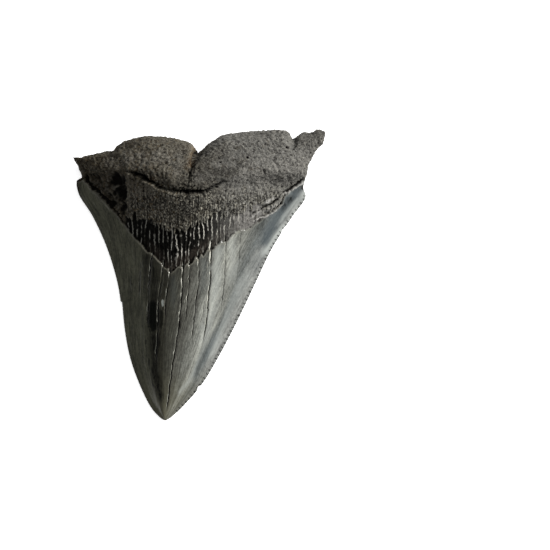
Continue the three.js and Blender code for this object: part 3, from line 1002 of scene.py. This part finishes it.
def close_group(**outputs):
    """Finish the open group with named outputs, and give it."""
    for label, value in outputs.items():
        kind = "Color" if value.socket.type == "RGBA" else "Float"
        wired.interface.new_socket(label, in_out="OUTPUT", socket_type="NodeSocket" + kind)
    goes_out = wired.nodes.new("NodeGroupOutput").inputs
    for label, value in outputs.items():
        feed(goes_out[label], value)
    print(f"{wired.name}: a group of {len(wired.nodes)} nodes")
    return wired


def use(made, **inputs):
    """Place a finished group in the open tree and feed it. Gives its outputs by name."""
    node = wired.nodes.new("ShaderNodeGroup")
    node.node_tree = made
    for label, value in inputs.items():
        feed(node.inputs[label.replace("_", " ")], value)
    return {output.name: Value(output) for output in node.outputs}


# %% [markdown]
# ## Grain, streaks, fibres and marks
#
# Four patterns come back all over the tooth. Mineral grain is a speckle of light and dark crystals, in the
# root, the band and, faintly, in the enamel. Long streaks run with the growth of the blade. Fibres stand
# side by side in the band and the root. Ragged marks are the blotches and chips of the enamel. Each is a
# group, so every place sets its own values and the pattern itself is made once.

# %% The grain group
size, stretch, strength = open_group("mineral grain", Size=1.0, Stretch=1.0, Strength=1.0)
per_metre = 1000.0 / size
fineness = place("CombineXYZ", {"X": per_metre, "Y": per_metre / stretch, "Z": per_metre})
scaled = place("VectorMath", {0: place("TexCoord", output="Object"), 1: fineness}, operation="MULTIPLY")
coarse = place("TexNoise", {"Vector": scaled, "Scale": 1.0, "Detail": 4.0, "Roughness": 0.75})
crystals = place("TexVoronoi", {"Vector": scaled, "Scale": 1.9, "Randomness": 1.0})
grain = close_group(Shade=(coarse - 0.56 + crystals * 0.16) * strength, Height=coarse + crystals * 0.6)

# %% The streak group
width, length, strength = open_group("long streaks", Width=1.0, Length=20.0, Strength=1.0)
flow = place("CombineXYZ", {"X": kept("streak") / width, "Y": kept("along") / length})
streak = place("TexNoise", {"Vector": flow, "Scale": 1.0, "Detail": 4.0, "Roughness": 0.6})
streaks = close_group(Shade=(streak - 0.5) * strength)

# %% The fibre group
per_lane, half_width, length, filled, wander = open_group(
    "fibre ridges", Per_Lane=1.0, Half_Width=0.1, Length=3.0, Share=0.5, Wander=0.5)
straight = kept("lane") * per_lane
down = kept("down")
bends = place("CombineXYZ", {"X": straight, "Y": down * 0.7})
bent = straight + (place("TexNoise", {"Vector": bends, "Scale": 0.8, "Detail": 1.0}) - 0.5) * wander
whole = maths("ROUND", bent)
stretches = place("CombineXYZ", {"X": whole * 3.7, "Y": down / length})
presence = place("TexNoise", {"Vector": stretches, "Scale": 1.0, "Detail": 2.0, "Roughness": 0.6})
least = 0.75 - filled * 0.5
narrow = between(maths("ABSOLUTE", bent - whole), half_width, half_width * 0.3)
fibre = close_group(Ridge=between(presence, least, least + 0.12) * narrow)

# %% The mark group
mark_x, mark_y, half_width, half_length = open_group(
    "ragged mark", X=0.0, Y=0.0, Half_Width=0.5, Half_Length=1.0)
aside = (kept("sideways") - mark_x) / half_width
ahead = (kept("down") - mark_y) / half_length
ragged_edge = use(grain, Size=0.7, Stretch=2.0, Strength=2.5)["Shade"]
mark = close_group(
    Mask=between(aside**2.0 + ahead**2.0 + ragged_edge, 1.15, 0.75) * (1.0 - kept("back")))

# %% [markdown]
# ## The colours of the parts
#
# Buried teeth take up minerals, and each part takes them differently. The dense enamel goes grey, olive
# and slate blue and keeps its gloss. The root, full of pores, goes brown-grey and stays matt. The band is
# nearly black. Each gets a group of its own that puts out a colour, and the material lays them together.

# %% Enamel: tones across the blade, and streaks along it
# the pale stop at 0.74 is partly the enamel's own tone and partly a painted reflection of the lamp
ENAMEL_BANDS = [  # share of the way across, colour
    (0.00, (63, 63, 52)), (0.18, (67, 67, 55)), (0.28, (47, 46, 36)), (0.36, (43, 42, 34)),
    (0.46, (54, 54, 48)), (0.56, (68, 68, 63)), (0.65, (87, 88, 83)), (0.74, (126, 127, 120)),
    (0.81, (98, 99, 94)), (0.87, (90, 93, 91)), (0.93, (118, 119, 115)), (1.00, (118, 119, 116)),
]

open_group("enamel colour")
across = kept("across")
wobble = use(streaks, Width=7.0, Length=38.0, Strength=0.16)["Shade"]
tones = place("ValToRGB", {"Fac": across + wobble})
stops = tones.socket.node.color_ramp.elements
while len(stops) < len(ENAMEL_BANDS):
    stops.new(0.5)
for stop, (where, shade) in zip(stops, ENAMEL_BANDS):
    stop.position, stop.color = where, colour(*shade)

smoother = between(across, 0.72, 0.86, 1.0, 0.5)  # the right flank is less streaky
fine = use(streaks, Width=0.7, Length=9.0, Strength=2.6)["Shade"] * smoother
broad = use(streaks, Width=3.2, Length=20.0, Strength=1.8)["Shade"]
crystal = use(grain, Size=0.9, Stretch=1.8, Strength=2.0)["Shade"]
hair = use(streaks, Width=0.42, Length=11.0, Strength=1.0)["Shade"]
blotches = use(grain, Size=1.1, Stretch=3.0, Strength=3.2)["Shade"]
sooted = place("Clamp", {"Value": kept("dark") * (0.95 + blotches), "Max": 0.97})
tinted = glazed(
    shaded(tones, 1.0 + crystal + (fine + broad)),
    (between(hair, 0.08, 0.16) * (smoother * 0.4), (38, 38, 32)),
    (between(hair, -0.1, -0.18) * 0.22, (150, 150, 142)),
    (between(kept("along"), -36.0, -56.0) * 0.5, (88, 86, 70)),  # the tip
    (kept("slate") * 0.85, (61, 69, 73)),
    # paler streaks, partly a painted reflection of the lamp
    (kept("pale") * 0.8, (158, 162, 158)),
    (sooted, (7, 7, 4)),
)

# %% Enamel: black marks, which also lose their polish, and one pale chip
DARK_MARKS = [  # x, y, half-width, half-length, how black
    (-19.3, -17.8, 2.7, 6.6, 0.95), (-16.2, -18.6, 1.2, 4.2, 0.7), (-20.6, -14.4, 0.6, 2.8, 0.8),
    (-18.3, -13.2, 0.8, 1.6, 0.8), (-20.4, -19.4, 0.7, 1.4, 0.8), (-17.7, -31.0, 0.8, 3.6, 0.85),
    (-8.0, -21.5, 0.4, 1.8, 0.8), (-22.4, -28.4, 0.5, 1.2, 0.6), (-21.0, -36.5, 0.4, 1.6, 0.7),
    (-19.0, 0.5, 0.4, 2.6, 0.8),
]
dulled = sooted * 0.6
for x, y, half_width, half_length, black in DARK_MARKS:
    blot = use(mark, X=x, Y=y, Half_Width=half_width, Half_Length=half_length)["Mask"] * black
    tinted = over(blot, tinted, colour(5, 7, 4))
    dulled = maths("MAXIMUM", dulled, blot)
chip = use(mark, X=-15.3, Y=-12.0, Half_Width=0.55, Half_Length=1.5)["Mask"]
enamel = close_group(Color=glazed(tinted, (chip * 0.85, (146, 150, 144))), Polish=1.0 - dulled)

# %% Root: the ground tones, darker and browner to the left
open_group("root colour")
rightward = place("SeparateXYZ", {0: place("TexCoord", output="Object")}, "X")
drift = rightward + (clouds(110.0, 4.0, 0.55) - 0.5) * 0.04
on_ledge, fold_shaded, dark_tone_and_shade = kept("ledge"), kept("fold_shade"), kept("dark")
# the ledge darker to its left: painted shade
ledge_tone = over(between(drift, -0.008, 0.012), colour(29, 27, 22), colour(62, 61, 57))
body = glazed(
    colour(47, 43, 35),
    (between(drift, -0.034, -0.024), (60, 57, 50)),
    (between(drift, -0.008, 0.014), (71, 70, 67)),
    # paler tone, and painted light on the slope right of the boss
    (kept("pale") * 0.7, (88, 86, 82)),
    # the dark strokes: the root's own darker tone, and painted shade on the left of the ledge
    (dark_tone_and_shade * 0.8, (27, 25, 21)),
    # painted shade above the fold and beside the crease
    (fold_shaded * 0.9, (19, 16, 11)),
)
body = over(on_ledge * 0.5, body, ledge_tone)

# %% Root: speckle, and warm minerals
plain_speckle = use(grain, Size=1.1, Strength=3.6)["Shade"] + use(grain, Size=0.5, Strength=6.0)["Shade"]
long_speckle = use(grain, Size=0.7, Stretch=2.2, Strength=15.0)["Shade"]
mottle = (clouds(260.0, 3.0, 0.6) - 0.5) * over_number(on_ledge, 1.3, 3.4)
lightness = 1.0 + (over_number(on_ledge, plain_speckle, long_speckle) + mottle)
speckled = shaded(body, maths("MAXIMUM", lightness, 0.06))

olive = between(clouds(330.0, 3.0, 0.6) - rightward * 2.5, 0.52, 0.68)
flecks = between(clouds(800.0, 2.0), 0.54, 0.66) * between(drift, 0.0, -0.014)
warmed = over(olive * 0.55, speckled, colour(92, 80, 50), "OVERLAY")
warmed = glazed(warmed, (flecks * over_number(on_ledge, 0.14, 0.42), (92, 74, 42)))
RUST = (1.9, 1.2, 0.55, 1.0)  # how much of each colour the rust lets through
rust = kept("stain") * between(olive, 0.1, 0.9, 0.45, 1.0)
rusted = over(rust * 0.9, warmed, over(1.0, warmed, RUST, "MULTIPLY"))

# %% Root: pits, strands and pale specks
pits = between(use(grain, Size=0.8, Strength=1.0)["Shade"], -0.13, -0.19)
dark_strands = use(fibre, Per_Lane=1.2, Half_Width=0.36, Length=1.3, Share=0.7, Wander=2.2)["Ridge"]
pale_strands = use(fibre, Per_Lane=1.5, Half_Width=0.26, Length=1.1, Share=0.62, Wander=2.2)["Ridge"]
fibrous = maths("MAXIMUM", on_ledge, fold_shaded) * (0.75 + fold_shaded * 0.25)
# clear_of_dark: 1 away from the painted shade and the dark strokes, lower to the left
clear_of_dark = (1.0 - maths("MAXIMUM", fold_shaded, dark_tone_and_shade) * 0.4) * between(drift, -0.032, -0.012, 0.55, 1.0)
laid_bare = maths("MAXIMUM", on_ledge, fold_shaded * 0.45) * between(drift, 0.0, 0.016, 1.0, 0.5)
specks = between(use(grain, Size=0.7, Stretch=1.5, Strength=1.0)["Shade"], 0.1, 0.2)
root = close_group(Color=glazed(
    rusted,
    (pits * 0.8, (12, 11, 9)),
    (dark_strands * fibrous, (9, 8, 6)),
    (pale_strands * 0.95 * laid_bare * clear_of_dark, (136, 132, 120)),
    (specks * over_number(on_ledge, 0.4, 0.75) * clear_of_dark, (146, 143, 134)),
))

# %% Dark band: black with pale ridges, brown at the bottom of the V, grey to the right
open_group("band colour")
grey_end = kept("grey_end")
lower = between(kept("root_side"), 1.8, 5.0, 1.0, 0.0) * between(kept("sideways"), -25.0, -17.0)
ground = glazed(
    colour(2, 2, 1),
    (lower, (30, 26, 22)),
    (grey_end, (70, 69, 66)),
    (between(kept("sideways"), 12.0, 20.0), (96, 94, 91)),
)
ground = shaded(ground, 1.0 + use(grain, Size=0.6, Stretch=2.0, Strength=3.0)["Shade"])
thick = use(fibre, Per_Lane=1.0, Half_Width=0.17, Length=5.0, Share=0.62, Wander=0.6)["Ridge"]
slight = use(fibre, Per_Lane=FINER, Half_Width=0.26, Length=2.6, Share=0.5, Wander=0.9)["Ridge"]
to_the_right = between(kept("lane"), -8.0, -4.0, 0.4, 1.0)
faint = over_number(lower, 0.14, 0.5) * to_the_right
bright = over_number(lower, 1.0, 0.2) * to_the_right * over_number(grey_end, 1.0, 0.6)
band = close_group(
    Color=glazed(ground, (slight * faint, (70, 66, 60)), (thick * bright, (176, 173, 164))))

# %% [markdown]
# ## One material over the whole tooth
#
# The stored distances decide where each colour lies. The enamel also gets a thin clear coat, because its
# polish is what tells it from the root at a glance. Hollows are painted dark, as painted shade, and what
# stands proud is painted a little paler, as a painted highlight.

# %% Lay the parts together
tooth_finish = bpy.data.materials.new("mineralised tooth")
tooth_finish.use_nodes = True
wired = tooth_finish.node_tree
shader = wired.nodes["Principled BSDF"].inputs

speckle = use(grain, Size=0.8, Strength=1.0)
border = kept("root_side") + speckle["Shade"]
is_root = between(border, -0.1, 0.25)
is_band = between(kept("in_band"), 0.2, 0.7)
enamel_look = use(enamel)
base = over(is_root, enamel_look["Color"], over(is_band, use(root)["Color"], use(band)["Color"]))

# %% Draw the cracks: a pale rim on the left of each as a painted highlight, and a dark gap on the right as painted shade
from_crack, rim_strength = kept("crack_side"), kept("crack_rim")
rim_mask = between(from_crack, rim_strength * -0.36, rim_strength * -0.2) * between(from_crack, 0.06, -0.04)
rim_shade = over(between(rim_strength, 0.8, 1.5), colour(138, 138, 129), colour(182, 181, 171))
base = over(rim_mask * rim_strength, base, rim_shade)
gap_mask = between(from_crack, 0.0, 0.12) * between(from_crack, 0.6, 0.38) * kept("crack_strength")

# %% Draw the cracks' gaps, the saw teeth, the lips and the darker cutting edge, a painted highlight on what stands proud, and painted shade in the hollows
FULL_TURN = 2 * np.pi
from_edge, along_edge = kept("from_edge"), kept("along_edge")
worn = place("TexNoise", {"Vector": place("CombineXYZ", {"X": along_edge}), "Scale": 0.35, "Detail": 2.0})
saw_gaps = maths("COSINE", (along_edge / SAW_PITCH + worn * 1.2) * FULL_TURN)
saw = between(saw_gaps, 0.4, 0.85) * between(from_edge - worn * 1.6, 0.45, 0.05)
lip_mask = between(border, -0.75, -0.35) * between(border, -0.02, -0.2) * kept("lip")
feed(shader["Base Color"], glazed(
    base,
    # painted shade: the dark gap of each crack
    (gap_mask, (9, 9, 8)),
    (saw * 0.85, (32, 33, 32)),
    (between(from_edge, 0.4, 0.1) * 0.6, (58, 59, 56)),
    (lip_mask, (112, 109, 96)),
    # a painted highlight on what stands proud
    (kept("proud") * over_number(is_band, 0.35, 0.15), (118, 115, 106)),
    (kept("splinter") * 0.85, (158, 156, 152)),
    # painted shade in the hollows
    (between(kept("hollow"), 0.15, 1.0, 0.0, 0.95), (5, 4, 3)),
))

# %% Gloss and fine relief
streaky = use(streaks, Width=1.5, Length=18.0, Strength=0.35)["Shade"]
feed(shader["Roughness"], over_number(is_root, 0.3 + streaky, 0.85))
coat = between(is_root, 0.0, 1.0, 0.35, 0.0) * enamel_look["Polish"] * (1.0 - gap_mask)
feed(shader["Coat Weight"], coat)
shader["Coat Roughness"].default_value = 0.16
shader["Specular IOR Level"].default_value = 0.06

height = speckle["Height"] * between(is_root, 0.0, 1.0, 0.03, 1.0)
feed(shader["Normal"], place("Bump", {"Strength": 0.6, "Distance": 0.00025, "Height": height}))
tooth.data.materials.append(tooth_finish)
print(f"{tooth_finish.name}: a material of {len(wired.nodes)} nodes")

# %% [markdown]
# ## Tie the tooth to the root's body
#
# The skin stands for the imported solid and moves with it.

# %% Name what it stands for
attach(tooth, "root")
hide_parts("tooth")
